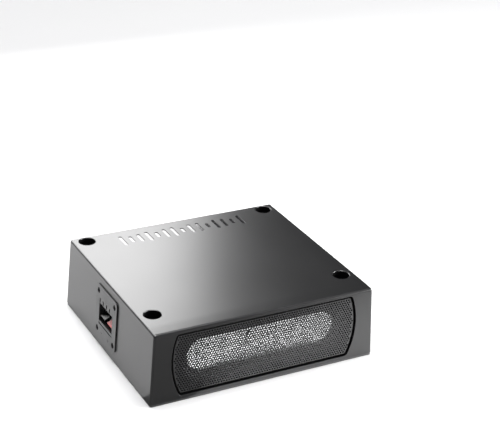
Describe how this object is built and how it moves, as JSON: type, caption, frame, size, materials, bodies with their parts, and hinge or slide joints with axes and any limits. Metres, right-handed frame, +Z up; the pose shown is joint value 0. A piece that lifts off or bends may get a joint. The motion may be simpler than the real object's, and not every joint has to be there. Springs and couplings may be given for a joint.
{
  "type": "powered car subwoofer",
  "caption": "Flat powered subwoofer box with a bowed perforated front grille, counterbored corner mounting holes and a push-lever terminal on its left side.",
  "frame": {"origin": "middle of the footprint at the underside, terminal panel included", "axes": "+X along the grille towards the plain side, -Y out of the grille, +Z up, with the terminal on -X"},
  "size_m": [0.2654, 0.2368, 0.082],
  "materials": {
    "enclosure": "satin with a very fine speckle",
    "base": "matt black coat",
    "bush_steel": "turned",
    "screw_black": "black oxide",
    "seal_rubber": "matt",
    "baffle_board": "bare fibreboard",
    "grille_steel": "satin dark grey coat",
    "trim_plastic": "moulded",
    "frame_plastic": "moulded, glass filled",
    "surround_rubber": "satin",
    "cone_metal": "satin",
    "former_aluminium": "bare foil",
    "coil_copper": "lacquered copper wire",
    "spider_cloth": "resin-dipped cotton",
    "pole_steel": "zinc plated",
    "magnet_ferrite": "sintered ferrite, ground faces",
    "tag_board": "phenolic board",
    "terminal_plastic": "moulded, satin",
    "lever_black": "moulded",
    "lever_red": "moulded",
    "contact_steel": "nickel plated spring steel",
    "board": "solder mask",
    "heat_aluminium": "bare, machined",
    "chip": "moulded epoxy",
    "capacitor": "shrink sleeve",
    "wire_red": "soft insulation",
    "wire_black": "soft insulation"
  },
  "bodies": {
    "root": {"enclosure_shell": "enclosure", "base_plate": "base", "base_seal": "seal_rubber", "driver_baffle": "baffle_board", "grille": "grille_steel", "grille_frame": "trim_plastic", "driver_frame": "frame_plastic", "driver_gasket": "seal_rubber", "surround": "surround_rubber", "spider": "spider_cloth", "front_pole_plate": "pole_steel", "magnet": "magnet_ferrite", "back_plate": "pole_steel", "tag_strip": "tag_board", "tinsel_lead_plus": "coil_copper", "tinsel_lead_minus": "coil_copper", "terminal_plate": "terminal_plastic", "terminal_gasket": "seal_rubber", "lever_pin": "contact_steel", "clip_spring_black": "contact_steel", "clip_spring_red": "contact_steel", "terminal_cover": "trim_plastic", "signal_socket": "contact_steel", "amp_board": "board", "amp_heat_block": "heat_aluminium", "amp_chip": "chip", "amp_inductor": "coil_copper", "amp_capacitor_1": "capacitor", "amp_capacitor_2": "capacitor", "supply_wire_red": "wire_red", "supply_wire_black": "wire_black", "signal_cable": "wire_black", "speaker_wire_red": "wire_red", "speaker_wire_black": "wire_black", "mount_bush_1": "bush_steel", "mount_bush_2": "bush_steel", "mount_bush_3": "bush_steel", "mount_bush_4": "bush_steel", "base_screw_1": "screw_black", "driver_screw_1": "screw_black", "base_screw_2": "screw_black", "driver_screw_2": "screw_black", "base_screw_3": "screw_black", "driver_screw_3": "screw_black", "base_screw_4": "screw_black", "driver_screw_4": "screw_black", "base_screw_5": "screw_black", "driver_screw_5": "screw_black", "base_screw_6": "screw_black", "driver_screw_6": "screw_black", "terminal_screw_1": "screw_black", "terminal_screw_2": "screw_black", "terminal_screw_3": "screw_black", "terminal_screw_4": "screw_black"},
    "black_lever": {"lever_black": "lever_black"},
    "red_lever": {"lever_red": "lever_red"},
    "cone_assembly": {"cone": "cone_metal", "dust_cap": "cone_metal", "coil_former": "former_aluminium", "voice_coil": "coil_copper"}
  },
  "joints": [
    {"name": "black_lever_press", "type": "hinge", "parent": "root", "child": "black_lever", "pos_m": [-0.11989, 0.011, 0.0455], "axis": [0, -1, 0], "range_deg": [0, 13], "stiffness_Nm_per_rad": 0.1, "deforming": ["clip_spring_black"]},
    {"name": "red_lever_press", "type": "hinge", "parent": "root", "child": "red_lever", "pos_m": [-0.11989, -0.007, 0.0455], "axis": [0, -1, 0], "range_deg": [0, 13], "stiffness_Nm_per_rad": 0.1, "deforming": ["clip_spring_red"]},
    {"name": "cone_travel", "type": "slide", "parent": "root", "child": "cone_assembly", "axis": [0, 1, 0], "range_m": [-0.005, 0.005], "stiffness_N_per_m": 2500, "deforming": ["surround", "spider", "tinsel_lead_plus", "tinsel_lead_minus"]}
  ]
}
